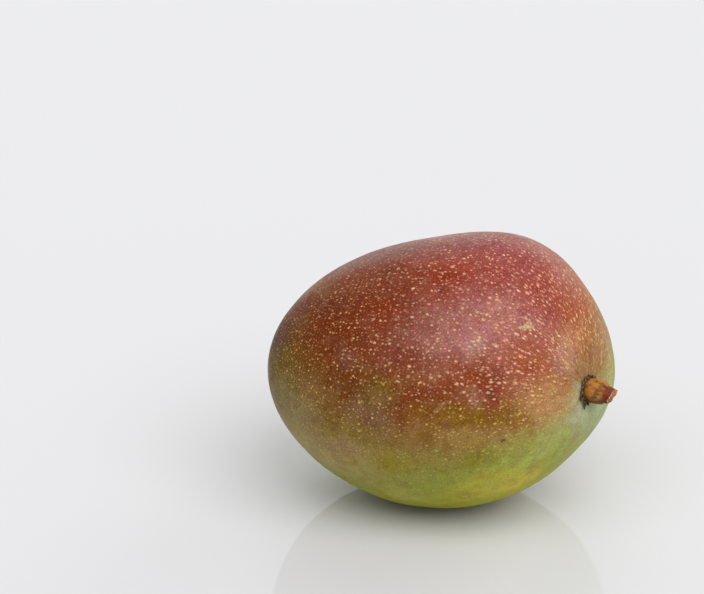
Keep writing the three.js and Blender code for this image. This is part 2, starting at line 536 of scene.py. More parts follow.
class Effects:
    """The node groups that the finishes share."""

    def __init__(self) -> None:
        """Builds every group."""
        self.patch = self.build_patch()
        self.stroke = self.build_stroke()
        self.grain = self.build_grain()
        self.pores = self.build_pores()

    def build_patch(self) -> Tree:
        """Builds a soft round patch: its strength at its centre, 0 at its reach and beyond.

        Returns:
            The group.
        """
        bench = GroupBench("soft_patch", ("Point", "Centre", "Reach"), ("Strength",), ("Amount",))
        taken = bench.taken
        gap = bench.vector("SUBTRACT", taken["Point"], taken["Centre"])
        away = bench.vector("LENGTH", bench.vector("DIVIDE", gap, taken["Reach"]))
        amount = bench.ease(away, 1.0, 0.0)
        return bench.give(Amount=bench.math("MULTIPLY", amount, taken["Strength"]))

    def build_stroke(self) -> Tree:
        """Builds a soft stroke between two places, such as a scratch or a crease.

        Returns:
            The group.
        """
        bench = GroupBench("soft_stroke", ("Point", "Start", "End"), ("Width",), ("Amount",))
        taken = bench.taken
        line = bench.vector("SUBTRACT", taken["End"], taken["Start"])
        gap = bench.vector("SUBTRACT", taken["Point"], taken["Start"])
        reach = bench.vector("DOT_PRODUCT", line, line)
        along = bench.math("DIVIDE", bench.vector("DOT_PRODUCT", gap, line), reach)
        nearest = bench.scale(line, bench.add("Clamp", {"Value": along}).outputs[0])
        away = bench.vector("DISTANCE", gap, nearest)
        return bench.give(Amount=bench.ease(away, taken["Width"], 0.0))

    def build_grain(self) -> Tree:
        """Builds the fine unevenness of a grown surface: its light and dark, and its relief.

        Returns:
            The group.
        """
        bench = GroupBench("grown_grain", ("Point",), ("Size", "Depth"), ("Shade", "Relief"))
        taken = bench.taken
        point = bench.scale(taken["Point"], bench.math("DIVIDE", 1.0, taken["Size"]))
        fine = bench.level(point, 1.0, 3.0)
        broad = bench.math("SUBTRACT", bench.level(point, 5.0, 2.0), 0.5)
        both = bench.math("MULTIPLY_ADD", broad, 0.25, fine)
        swing = bench.math("MULTIPLY", bench.math("SUBTRACT", both, 0.5), taken["Depth"])
        return bench.give(Shade=bench.math("ADD", swing, 1.0), Relief=fine)

    def build_pores(self) -> Tree:
        """Builds a scatter of small spots on the surface, drawn out along a heading.

        Returns:
            The group.
        """
        numbers = ("Cell", "Smallest", "Largest", "Stretch", "Share", "Ragged")
        vectors = ("Point", "Normal", "Heading")
        bench = GroupBench("scattered_pores", vectors, numbers, ("Spot", "Bright"))
        taken = bench.taken
        wander = bench.drift(taken["Point"], 0.45, 1.0)
        point = bench.push(taken["Point"], wander, taken["Ragged"])
        pitch = bench.math("DIVIDE", 1.0, taken["Cell"])
        feeds = {"Vector": point, "Scale": pitch, "Randomness": 0.72}
        cells = bench.add("TexVoronoi", feeds, feature="F1")
        chance = bench.add("SeparateColor", {0: cells.outputs["Color"]}).outputs
        gap = bench.vector("SUBTRACT", point, cells.outputs["Position"])
        depth, flat = bench.split(gap, taken["Normal"])
        along, across = bench.split(flat, taken["Heading"])
        long = bench.math("DIVIDE", along, taken["Stretch"])
        wide = bench.vector("DOT_PRODUCT", across, across)
        away = bench.math("SQRT", bench.math("MULTIPLY_ADD", long, long, wide))
        size = bench.math("POWER", chance[0], 1.6)
        growth = bench.math("SUBTRACT", taken["Largest"], taken["Smallest"])
        radius = bench.math("MULTIPLY_ADD", size, growth, taken["Smallest"])
        outer = bench.math("MULTIPLY", radius, 1.4)
        inside = bench.ease(away, outer, bench.math("MULTIPLY", radius, 0.2))
        level = bench.math("DIVIDE", bench.math("ABSOLUTE", depth), taken["Cell"])
        near = bench.ease(level, 0.42, 0.3)
        here = bench.math("LESS_THAN", chance[1], taken["Share"])
        spot = bench.math("MULTIPLY", bench.math("MULTIPLY", inside, near), here)
        return bench.give(Spot=spot, Bright=chance[2])


# ------------------------------------------------------------------ finishes


@dataclass(frozen=True)
class Blotch:
    """A soft-edged patch of skin with a colour of its own, laid out in millimetres."""

    centre: Place
    reach: Place
    colour: Colour
    strength: float = 1.0


@dataclass(frozen=True)
class Stroke:
    """A soft line on the skin, laid out in millimetres."""

    start: Place
    end: Place
    width: float
    colour: Colour
    strength: float


@dataclass(frozen=True)
class Mottle:
    """Flecks over the whole skin, where a noise of a size in millimetres is high.

    The shift keeps one kind of fleck off another. Levels are where a fleck starts and is full.
    """

    size: float
    detail: float
    shift: Place
    levels: Span
    strength: float
    colour: Colour
    coat: Coat


@dataclass(frozen=True)
class PoreLayer:
    """One size of the pale breathing pores of the skin, in millimetres.

    Strength and growth hold their values by the stem, midway and at the far tip. Stretch holds
    its values by the stem and away from it.
    """

    cell: float
    smallest: float
    largest: float
    share: float
    ragged: float
    strength: tuple[float, float, float]
    growth: tuple[float, float, float]
    stretch: Span


# Colour of the bare skin from the shaded side (0) to the side that ripened in the sun (1).
SUN_COLOURS: tuple[tuple[float, Colour], ...] = (
    (0.0, (0.360, 0.320, 0.050)),
    (0.146, (0.355, 0.357, 0.006)),
    (0.271, (0.283, 0.294, 0.036)),
    (0.396, (0.276, 0.288, 0.052)),
    (0.521, (0.276, 0.145, 0.048)),
    (0.646, (0.298, 0.101, 0.048)),
    (0.792, (0.253, 0.043, 0.028)),
    (1.0, (0.124, 0.088, 0.165)),
)

BLOTCHES: dict[str, Blotch] = {
    "brown tip half": Blotch((-46, -37, 59), (106, 70, 55), (0.139, 0.099, 0.013)),
    "red back of the crown": Blotch((-8, -17, 89), (82, 35, 16), (0.257, 0.034, 0.012)),
    "dark rusty shoulder": Blotch((-18, -33, 73), (49, 42, 37), (0.142, 0.020, 0.006)),
    "rust below the tip": Blotch((-31, -37, 70), (24, 32, 21), (0.127, 0.023, 0.004)),
    "olive tip": Blotch((-51, -24, 63), (13, 21, 27), (0.075, 0.025, 0.006)),
    "dull green tip": Blotch((-39, -39, 43), (15, 27, 17), (0.232, 0.171, 0.074)),
    "orange brown saddle": Blotch((-18, -15, 82), (23, 20, 13), (0.147, 0.026, 0.007)),
    # Partly pale bloom, partly painted sheen: the top rim's glancing reflection of the lamps.
    "pale rim and painted sheen": Blotch((-26, 1, 83), (55, 18, 21), (0.185, 0.086, 0.084)),
    "orange brown spot": Blotch((2, -18, 86), (10, 10, 9), (0.188, 0.020, 0.004)),
    "dark red crown": Blotch((4, -25, 82), (14, 10, 9), (0.193, 0.028, 0.010)),
    # Partly pink skin, partly painted sheen where the back light glances off the crown.
    "pink crown and painted sheen": Blotch((7, 12, 85), (53, 16, 15), (0.295, 0.137, 0.129)),
    "orange red by the stem": Blotch((36, -9, 76), (16, 18, 13), (0.226, 0.037, 0.027)),
    "ochre shoulder": Blotch((49, -4, 69), (20, 15, 24), (0.276, 0.052, 0.004)),
    "tan stem end": Blotch((46, -2, 58), (15, 34, 18), (0.266, 0.132, 0.057)),
    # Partly waxy bloom, partly a painted reflection: the key lamp's broad soft highlight on the
    # cheek.
    "pale bloom and painted sheen": Blotch((21, -30, 70), (38, 31, 21), (0.324, 0.116, 0.115)),
    "orange red cheek": Blotch((33, -29, 65), (20, 12, 15), (0.264, 0.059, 0.022)),
    "magenta cheek": Blotch((19, -40, 60), (22, 13, 13), (0.189, 0.033, 0.004)),
    "lilac bloom": Blotch((20, -42, 54), (7, 10, 6), (0.325, 0.153, 0.110)),
    "rust band": Blotch((4, -47, 52), (41, 17, 12), (0.151, 0.021, 0.004)),
    "ochre band": Blotch((18, -40, 49), (40, 20, 8), (0.176, 0.084, 0.007)),
    "olive fleck": Blotch((-12, -48, 55), (13, 12, 8), (0.137, 0.075, 0.011)),
    "brown fleck": Blotch((-20, -46, 57), (12, 12, 13), (0.111, 0.028, 0.004)),
    "mauve bloom": Blotch((-12, -49, 47), (13, 13, 11), (0.168, 0.083, 0.042)),
    "olive belly": Blotch((-17, -48, 39), (20, 15, 7), (0.188, 0.119, 0.021)),
    "tan belly": Blotch((-25, -37, 30), (39, 21, 19), (0.390, 0.295, 0.113)),
    "yellow green belly": Blotch((-6, -46, 30), (11, 15, 10), (0.242, 0.194, 0.015)),
    "green side": Blotch((47, -21, 40), (21, 25, 15), (0.301, 0.297, 0.108)),
    "grey green below the stem": Blotch((53, -3, 39), (14, 19, 16), (0.302, 0.381, 0.215)),
    "yellow streak": Blotch((30, -30, 20), (31, 17, 13), (0.513, 0.413, 0.048)),
    "green band": Blotch((34, -27, 32), (28, 15, 9), (0.322, 0.341, 0.088)),
    "tan by the stem": Blotch((45, -29, 51), (19, 16, 12), (0.362, 0.172, 0.076)),
    "rust below the bloom": Blotch((-2, -43, 66), (16, 11, 8), (0.154, 0.031, 0.015)),
    "rusty shoulder": Blotch((-35, -27, 74), (16, 11, 8), (0.116, 0.019, 0.004)),
    "pale fleck": Blotch((-22, -43, 64), (9, 6, 6), (0.141, 0.044, 0.027)),
    "pale pink spot": Blotch((18, -36, 68), (6, 6, 6), (0.307, 0.143, 0.142)),
    "deep red cheek": Blotch((26, -39, 57), (7, 7, 12), (0.175, 0.031, 0.012)),
    "tan above the stem": Blotch((45, -11, 66), (16, 11, 8), (0.351, 0.126, 0.063)),
    "tan left of the stem": Blotch((44, -19, 62), (9, 9, 9), (0.342, 0.137, 0.119)),
    "brown fleck by the green": Blotch((35, -35, 46), (6, 6, 6), (0.224, 0.094, 0.015)),
    "brown patch": Blotch((19, -44, 41), (13, 9, 6), (0.272, 0.170, 0.040)),
    "olive streak": Blotch((21, -41, 33), (9, 6, 6), (0.193, 0.166, 0.017)),
    "pinkish tan belly": Blotch((-25, -46, 34), (13, 9, 6), (0.276, 0.165, 0.089)),
    "yellow belly": Blotch((24, -35, 22), (16, 11, 8), (0.398, 0.365, 0.051)),
    "green belly": Blotch((-4, -37, 15), (16, 11, 8), (0.383, 0.363, 0.063)),
    "yellow green crescent": Blotch((48, -20, 50), (4, 5, 9), (0.324, 0.115, 0.006)),
    "orange brown shoulder": Blotch((-13, -32, 77), (11, 11, 9), (0.164, 0.024, 0.006)),
    "olive brown tip": Blotch((-50, -25, 62), (16, 12, 9), (0.097, 0.023, 0.006)),
    "brown edge of the crown": Blotch((-45, -19, 70), (16, 11, 8), (0.118, 0.018, 0.006)),
    "brown dip": Blotch((7, -47, 40), (6, 6, 6), (0.191, 0.091, 0.016)),
    "mauve fleck": Blotch((-33, -46, 53), (13, 9, 6), (0.191, 0.095, 0.033)),
    "pale fleck by the scab": Blotch((24, -22, 79), (7, 7, 12), (0.332, 0.119, 0.103)),
    "soft green of the back": Blotch((0, 36, 28), (58, 34, 26), (0.340, 0.310, 0.085), 0.8),
    "red cheek of the back": Blotch((-12, 36, 66), (30, 18, 15), (0.260, 0.070, 0.030)),
    "yellow window of the back": Blotch((22, 42, 52), (20, 14, 12), (0.380, 0.270, 0.040), 0.7),
    "olive back": Blotch((-32, 38, 44), (24, 16, 13), (0.240, 0.190, 0.030)),
    "green shoulder of the back": Blotch((46, 24, 46), (18, 20, 22), (0.300, 0.300, 0.060)),
    "ochre tip": Blotch((-58, 6, 42), (10, 20, 16), (0.300, 0.200, 0.040)),
    "yellow underside": Blotch((4, 2, 2), (42, 28, 13), (0.420, 0.350, 0.040)),
    "green collar": Blotch((49, -16, 45), (8, 10, 13), (0.381, 0.405, 0.282)),
}

PORE_LAYERS: dict[str, PoreLayer] = {
    "large": PoreLayer(
        cell=2.5,
        smallest=0.26,
        largest=0.52,
        share=0.85,
        ragged=0.35,
        strength=(0.85, 0.8, 0.7),
        growth=(0.85, 1.0, 0.75),
        stretch=(2.4, 1.2),
    ),
    "middling": PoreLayer(
        cell=1.7,
        smallest=0.18,
        largest=0.38,
        share=0.9,
        ragged=0.28,
        strength=(0.85, 0.62, 0.9),
        growth=(0.9, 1.0, 0.85),
        stretch=(2.4, 1.2),
    ),
    "fine": PoreLayer(
        cell=1.05,
        smallest=0.12,
        largest=0.25,
        share=0.9,
        ragged=0.2,
        strength=(0.4, 0.33, 0.5),
        growth=(1.0, 1.0, 1.0),
        stretch=(1.8, 1.1),
    ),
}

SCARS: dict[str, Blotch] = {
    "bruise": Blotch((24.6, -39.4, 56.0), (2.0, 2.0, 1.7), (0.08, 0.02, 0.018), 0.7),
    "bite": Blotch((29.2, -38.7, 39.8), (1.5, 1.5, 1.3), (0.07, 0.045, 0.02), 0.75),
    "speck on the crown": Blotch((3.2, -23.8, 82.6), (1.5, 1.5, 1.1), (0.06, 0.02, 0.02), 0.7),
    "flower scar": Blotch((-60.2, -6.0, 40.0), (2.4, 2.4, 2.4), (0.08, 0.05, 0.025), 0.9),
}

STROKES: dict[str, Stroke] = {
    "scab, lower arm": Stroke(
        (30.2, -24.4, 73.5), (33.5, -21.7, 73.1), 1.0, (0.42, 0.33, 0.22), 0.9
    ),
    "scab, upper arm": Stroke(
        (33.3, -21.5, 73.4), (32.1, -20.9, 75.0), 0.95, (0.42, 0.3, 0.17), 0.85
    ),
    "scab, middle": Stroke((31.6, -22.6, 74.0), (33.0, -21.6, 73.7), 1.1, (0.36, 0.24, 0.12), 0.7),
    "scratch": Stroke((11.7, -45.1, 53.5), (8.8, -46.4, 50.6), 1.1, (0.36, 0.22, 0.12), 0.4),
    "crease over the stem": Stroke(
        (50.2, -7.8, 57.0), (49.4, -7.2, 60.8), 0.5, (0.1, 0.06, 0.03), 0.6
    ),
    "pale ridge": Stroke((51.7, -0.2, 58.1), (52.1, -2.6, 54.6), 0.9, (0.5, 0.33, 0.17), 0.7),
}

MOTTLES: dict[str, Mottle] = {
    "rust": Mottle(5.0, 5.0, (0.0, 0.0, 0.0), (0.45, 0.7), 0.5, (0.8, 0.58, 0.45), Coat.TINT),
    "olive": Mottle(3.6, 5.0, (40.0, 0.0, 0.0), (0.45, 0.72), 0.5, (1.05, 1.28, 0.95), Coat.TINT),
    "wax": Mottle(5.0, 6.0, (0.0, 60.0, 0.0), (0.5, 0.75), 0.1, (0.36, 0.2, 0.14), Coat.OVER),
}


@dataclass(frozen=True)
class SkinFinish:
    """Waxy skin: green to red by how much sun it had, freckled with pale pores.

    Colours are linear and lengths are millimetres. A span holds where a change starts and ends.
    """

    line: StemLine
    effects: Effects
    specular: float = 0.05
    sun_way: Place = (-0.0998, -0.2994, 0.9482)
    sun_reach: float = 96.0
    wander_broad: float = 9.0
    wander_fine: float = 6.0
    ridge_pitch: float = 5.5
    ridge_drift: float = 0.09
    ridge_reach: Span = (26.0, 9.0)
    ridge_root: Span = (3.0, 7.0)
    ridge_below: Span = (8.0, -1.0)
    ridge_colour: Colour = (0.46, 0.3, 0.13)
    groove_colour: Colour = (0.6, 0.5, 0.4)
    scar_tear: float = 3.2
    stroke_waver: float = 1.2
    scar_edge: Span = (0.25, 0.5)
    near_stem: Span = (28.0, 46.0)
    near_tip: Span = (62.0, 95.0)
    low_down: Span = (38.0, 68.0)
    bare_by_stem: Span = (8.0, 19.0)
    cream: Colour = (0.68, 0.41, 0.26)
    amber: Colour = (0.62, 0.34, 0.13)
    straw: Colour = (0.62, 0.44, 0.14)
    lime: Colour = (0.42, 0.43, 0.13)
    speck_colour: Colour = (0.3, 0.22, 0.2)
    speck_shift: Place = (7.0, 3.0, 5.0)
    grain_size: float = 0.55
    roughness: Span = (0.34, 0.46)
    relief_depth: float = 0.1 * MM

    def build(self) -> Material:
        """Builds the material.

        Returns:
            The material.
        """
        canvas = Canvas("waxy_skin", self.specular)
        place = self.wander(canvas)
        sun = self.sun_share(canvas, place)
        self.lay_ground(canvas, place, sun)
        gap = canvas.vector("SUBTRACT", self.line.seat_mm(), canvas.point)
        away = canvas.vector("LENGTH", gap)
        ridges = self.draw_ridges(canvas, gap, away)
        self.draw_scars(canvas)
        spots = self.scatter_pores(canvas, gap, away)
        depth = canvas.ease(sun, 0.35, 0.65, 0.9, 1.7)
        feeds = {"Point": canvas.point, "Size": self.grain_size, "Depth": depth}
        grain = canvas.use(self.effects.grain, "grain", **feeds).outputs
        canvas.colour = canvas.scale(canvas.colour, grain["Shade"])
        wear = canvas.ease(canvas.level(canvas.point, 7.0, 3.0), 0.3, 0.7, *self.roughness)
        height = canvas.math("MULTIPLY", grain["Relief"], 0.25)
        height = canvas.math("MULTIPLY_ADD", spots, 0.25, height)
        height = canvas.math("MULTIPLY_ADD", ridges, 4.0, height)
        return canvas.finish(wear, height, 0.5, self.relief_depth)

    def wander(self, canvas: Canvas) -> Socket:
        """Shifts places about, so that soft patches get uneven edges.

        Args:
            canvas: The material.

        Returns:
            The shifted place.
        """
        point = canvas.point
        shifted = canvas.push(point, canvas.drift(point, 16.0, 2.0), self.wander_broad)
        return canvas.push(shifted, canvas.drift(point, 4.0, 3.0), self.wander_fine)

    def sun_share(self, canvas: Canvas, place: Feed) -> Socket:
        """Says, from 0 to 1, how far up the sunny side a place is, unevenly on the back.

        Args:
            canvas: The material.
            place: The place.

        Returns:
            The share of the sun that the place had.
        """
        height = canvas.vector("DOT_PRODUCT", place, self.sun_way)
        share = canvas.math("DIVIDE", height, self.sun_reach)
        back = canvas.ease(canvas.part(place, 1), 0.0, 25.0, 0.0, 0.55)
        drift = canvas.math("SUBTRACT", canvas.level(place, 26.0, 3.0), 0.5)
        return canvas.math("MULTIPLY_ADD", drift, back, share)

    def lay_ground(self, canvas: Canvas, place: Feed, sun: Feed) -> None:
        """Colours the skin by its share of the sun, with every blotch and fleck over it.

        Args:
            canvas: The material.
            place: The place, shifted about.
            sun: The share of the sun.
        """
        ramp = canvas.add("ValToRGB", {"Fac": sun})
        stops = ramp.color_ramp.elements
        while len(stops) < len(SUN_COLOURS):
            stops.new(0.5)
        for stop, (position, colour) in zip(stops, SUN_COLOURS):
            stop.position = position
            stop.color = rgba(colour)
        canvas.colour = ramp.outputs["Color"]
        for label, blotch in BLOTCHES.items():
            feeds = {"Centre": blotch.centre, "Reach": blotch.reach, "Strength": blotch.strength}
            patch = canvas.use(self.effects.patch, label, Point=place, **feeds)
            canvas.paint(patch.outputs["Amount"], blotch.colour)
        for mottle in MOTTLES.values():
            shifted = canvas.vector("ADD", canvas.point, mottle.shift)
            level = canvas.level(shifted, mottle.size, mottle.detail)
            amount = canvas.ease(level, *mottle.levels, 0.0, mottle.strength)
            canvas.paint(amount, mottle.colour, mottle.coat)

    def draw_ridges(self, canvas: Canvas, gap: Feed, away: Feed) -> Socket:
        """Draws the fine ridges that run in to the stem.

        Args:
            canvas: The material.
            gap: The vector from the place to the stem's seat.
            away: Its length.

        Returns:
            The ridges' relief.
        """
        axis = tuple(self.line.axis)
        _, outward = canvas.split(gap, axis)
        round_way = canvas.scale(canvas.vector("NORMALIZE", outward), self.ridge_pitch)
        slow = canvas.math("MULTIPLY", away, self.ridge_drift)
        streaks = canvas.level(canvas.push(round_way, axis, slow), 1.0, 3.0)
        reach = canvas.ease(away, *self.ridge_reach)
        near = canvas.math("MULTIPLY", reach, canvas.ease(away, *self.ridge_root))
        below = canvas.ease(canvas.part(gap, 2), *self.ridge_below, 0.3, 1.0)
        near = canvas.math("MULTIPLY", near, below)
        ridge = canvas.math("MULTIPLY", canvas.ease(streaks, 0.48, 0.68, 0.0, 0.5), near)
        groove = canvas.math("MULTIPLY", canvas.ease(streaks, 0.46, 0.3, 0.0, 0.5), near)
        canvas.paint(ridge, self.ridge_colour)
        canvas.paint(groove, self.groove_colour, Coat.TINT)
        return canvas.math("MULTIPLY", streaks, near)

    def draw_scars(self, canvas: Canvas) -> None:
        """Adds the few scars, bruises and scratches of a picked fruit.

        Args:
            canvas: The material.
        """
        wander = canvas.drift(canvas.point, 1.6, 3.0)
        torn = canvas.push(canvas.point, wander, self.scar_tear)
        wavering = canvas.push(canvas.point, wander, self.stroke_waver)
        for label, scar in SCARS.items():
            feeds = {"Centre": scar.centre, "Reach": scar.reach, "Strength": 1.0}
            patch = canvas.use(self.effects.patch, label, Point=torn, **feeds)
            edge = canvas.ease(patch.outputs["Amount"], *self.scar_edge, 0.0, scar.strength)
            canvas.paint(edge, scar.colour)
        for label, stroke in STROKES.items():
            feeds = {"Start": stroke.start, "End": stroke.end, "Width": stroke.width}
            line = canvas.use(self.effects.stroke, label, Point=wavering, **feeds)
            amount = canvas.math("MULTIPLY", line.outputs["Amount"], stroke.strength)
            canvas.paint(amount, stroke.colour)

    def along_fruit(self, canvas: Canvas, away: Feed, values: tuple[float, float, float]) -> Socket:
        """Changes a value along the fruit.

        Args:
            canvas: The material.
            away: Distance from the stem's seat.
            values: The value by the stem, midway and at the far tip.

        Returns:
            The value at that distance.
        """
        by_stem, midway, at_tip = values
        beyond = canvas.ease(away, *self.near_tip, midway, at_tip)
        return canvas.ease(away, *self.near_stem, by_stem, beyond)

    def scatter_pores(self, canvas: Canvas, gap: Feed, away: Feed) -> Feed:
        """Scatters the pale pores and the few dark specks.

        Args:
            canvas: The material.
            gap: The vector from the place to the stem's seat.
            away: Its length.

        Returns:
            The pores' relief.
        """
        normal = canvas.surface_normal()
        heading = canvas.vector("NORMALIZE", canvas.split(gap, normal)[1])
        facing = {"Normal": normal, "Heading": heading}
        pale = self.pore_colour(canvas, away)
        low = canvas.ease(canvas.part(canvas.point, 2), *self.low_down, 0.76, 1.06)
        bare = canvas.ease(away, *self.bare_by_stem, 0.35, 1.0)
        relief: Feed = 0.0
        for label, layer in PORE_LAYERS.items():
            growth = canvas.math("MULTIPLY", low, self.along_fruit(canvas, away, layer.growth))
            pores = canvas.use(
                self.effects.pores,
                label,
                Point=canvas.point,
                Cell=layer.cell,
                Smallest=canvas.math("MULTIPLY", growth, layer.smallest),
                Largest=canvas.math("MULTIPLY", growth, layer.largest),
                Share=layer.share,
                Ragged=layer.ragged,
                Stretch=canvas.ease(away, 10.0, 60.0, *layer.stretch),
                **facing,
            )
            strength = canvas.math("MULTIPLY", bare, self.along_fruit(canvas, away, layer.strength))
            bright = canvas.ease(pores.outputs["Bright"], 0.0, 1.0, 0.4, 1.0)
            spot = canvas.math("MULTIPLY", pores.outputs["Spot"], strength)
            canvas.paint(canvas.math("MULTIPLY", spot, bright), pale)
            relief = canvas.math("ADD", spot, relief)
        specks = canvas.use(
            self.effects.pores,
            "dark specks",
            Point=canvas.vector("ADD", canvas.point, self.speck_shift),
            Cell=4.5,
            Smallest=0.1,
            Largest=0.3,
            Share=0.4,
            Ragged=0.3,
            Stretch=1.2,
            **facing,
        )
        amount = canvas.math("MULTIPLY", specks.outputs["Spot"], 0.6)
        canvas.paint(amount, self.speck_colour, Coat.TINT)
        return relief

    def pore_colour(self, canvas: Canvas, away: Feed) -> Socket:
        """Picks the pores' pale colour by how green the skin under them is.

        Args:
            canvas: The material.
            away: Distance from the stem's seat.

        Returns:
            The colour.
        """
        parts = canvas.add("SeparateColor", {0: canvas.colour}).outputs
        greenness = canvas.math("DIVIDE", parts[1], canvas.math("ADD", parts[0], 0.01))
        red = canvas.blend(canvas.ease(away, 50.0, 90.0), self.cream, self.amber)
        warm = canvas.blend(canvas.ease(greenness, 0.22, 0.45), red, self.straw)
        return canvas.blend(canvas.ease(greenness, 0.65, 1.0), warm, self.lime)


@dataclass(frozen=True)
class StemPattern:
    """What the stem's colours go by at a place, in millimetres from its seat.

    Along is the height above the seat and outward the vector from the stem's line. Fibre and
    blot are levels of the fine grain and of the broad blotches.
    """

    along: Feed
    outward: Feed
    fibre: Feed
    blot: Feed


@dataclass(frozen=True)
class StemFinish:
    """Woody stem: ochre knuckle, red-brown neck and a paler cut end, with painted shade on its
    underside.
    """

    line: StemLine
    specular: float = 0.15
    ochre: Colour = (0.4, 0.16, 0.03)
    rust: Colour = (0.22, 0.043, 0.017)
    umber: Colour = (0.1, 0.043, 0.025)
    bark: Colour = (0.055, 0.03, 0.018)
    cut: Colour = (0.5, 0.17, 0.08)
    rim: Colour = (0.68, 0.4, 0.17)
    neck_start: Span = (6.2, 7.3)
    # Where the painted shade on the stem's underside starts and is full.
    underside_shade_start: Span = (1.3, -2.0)
    foot_start: Span = (2.2, 0.4)
    cut_start: Span = (6.6, 7.4)
    rim_start: Span = (1.7, 2.3)
    fibre_stretch: float = 0.22
    relief_depth: float = 0.35 * MM

    def build(self) -> Material:
        """Builds the material.

        Returns:
            The material.
        """
        canvas = Canvas("stem_wood", self.specular)
        gap = canvas.vector("SUBTRACT", canvas.point, self.line.seat_mm())
        axis = tuple(self.line.axis)
        along, outward = canvas.split(gap, axis)
        drawn = canvas.push(outward, axis, canvas.math("MULTIPLY", along, self.fibre_stretch))
        fibre = canvas.level(drawn, 0.6, 4.0)
        blot = canvas.level(canvas.point, 2.2, 4.0)
        pattern = StemPattern(along, outward, fibre, blot)
        self.paint_wood(canvas, pattern)
        self.paint_cut(canvas, gap, pattern)
        self.shade_underside_darken_foot(canvas, pattern)
        height = canvas.math("MULTIPLY_ADD", blot, 0.8, fibre)
        return canvas.finish(
            canvas.ease(fibre, 0.3, 0.7, 0.6, 0.85), height, 0.9, self.relief_depth
        )

    def paint_wood(self, canvas: Canvas, pattern: StemPattern) -> None:
        """Colours the ochre knuckle and the red-brown neck, with dirt between them.

        Args:
            canvas: The material.
            pattern: What the colours go by.
        """
        swing = canvas.math("SUBTRACT", pattern.blot, 0.5)
        uneven = canvas.math("MULTIPLY_ADD", swing, 3.0, pattern.along)
        canvas.colour = self.ochre
        canvas.paint(canvas.ease(uneven, *self.neck_start), self.rust)
        grime = canvas.math("MULTIPLY", pattern.blot, 0.5)
        grime = canvas.math("MULTIPLY_ADD", pattern.fibre, 0.6, grime)
        grime = canvas.math("ADD", grime, canvas.ease(pattern.along, 3.0, 6.5, 0.0, 0.07))
        canvas.paint(canvas.ease(grime, 0.54, 0.72, 0.0, 0.7), self.bark)

    def paint_cut(self, canvas: Canvas, gap: Feed, pattern: StemPattern) -> None:
        """Colours the slanting cut: pale at its rim and redder inside.

        Args:
            canvas: The material.
            gap: The vector from the stem's seat to the place.
            pattern: What the colours go by.
        """
        turned = canvas.vector("DOT_PRODUCT", canvas.surface_normal(), tuple(self.line.axis))
        beyond = canvas.ease(pattern.along, *self.cut_start)
        on_cut = canvas.math("MULTIPLY", canvas.ease(turned, 0.6, 0.8), beyond)
        at_rim = canvas.ease(canvas.vector("LENGTH", pattern.outward), *self.rim_start)
        specks = canvas.ease(canvas.level(gap, 0.5, 3.0), 0.5, 0.7, 0.0, 0.5)
        face = canvas.blend(specks, canvas.blend(at_rim, self.cut, self.rim), self.rust)
        canvas.paint(on_cut, face)

    def shade_underside_darken_foot(self, canvas: Canvas, pattern: StemPattern) -> None:
        """Paints shade on the stem's underside, and darkens its foot.

        Args:
            canvas: The material.
            pattern: What the colours go by.
        """
        # Painted shade: umber laid on the side of the stem that faces down.
        below = canvas.math("MULTIPLY_ADD", pattern.fibre, 2.0, canvas.part(pattern.outward, 2))
        canvas.paint(canvas.ease(below, *self.underside_shade_start, 0.0, 0.85), self.umber)
        above_foot = canvas.math("MULTIPLY_ADD", pattern.blot, 1.6, pattern.along)
        canvas.paint(canvas.ease(above_foot, *self.foot_start, 0.0, 0.9), self.bark)


@dataclass(frozen=True)
class CalyxFinish:
    """Dried, almost black calyx scales."""

    effects: Effects
    specular: float = 0.25
    dark: Colour = (0.034, 0.019, 0.01)
    light: Colour = (0.2, 0.115, 0.05)
    relief_depth: float = 0.2 * MM

    def build(self) -> Material:
        """Builds the material.

        Returns:
            The material.
        """
        canvas = Canvas("dried_calyx", self.specular)
        feeds = {"Point": canvas.point, "Size": 0.3, "Depth": 0.8}
        relief = canvas.use(self.effects.grain, "grain", **feeds).outputs["Relief"]
        canvas.colour = self.dark
        canvas.paint(canvas.ease(canvas.level(canvas.point, 0.8, 4.0), 0.45, 0.62), self.light)
        rough = canvas.ease(relief, 0.3, 0.7, 0.7, 0.92)
        return canvas.finish(rough, relief, 0.8, self.relief_depth)


# ------------------------------------------------------------------ fruit


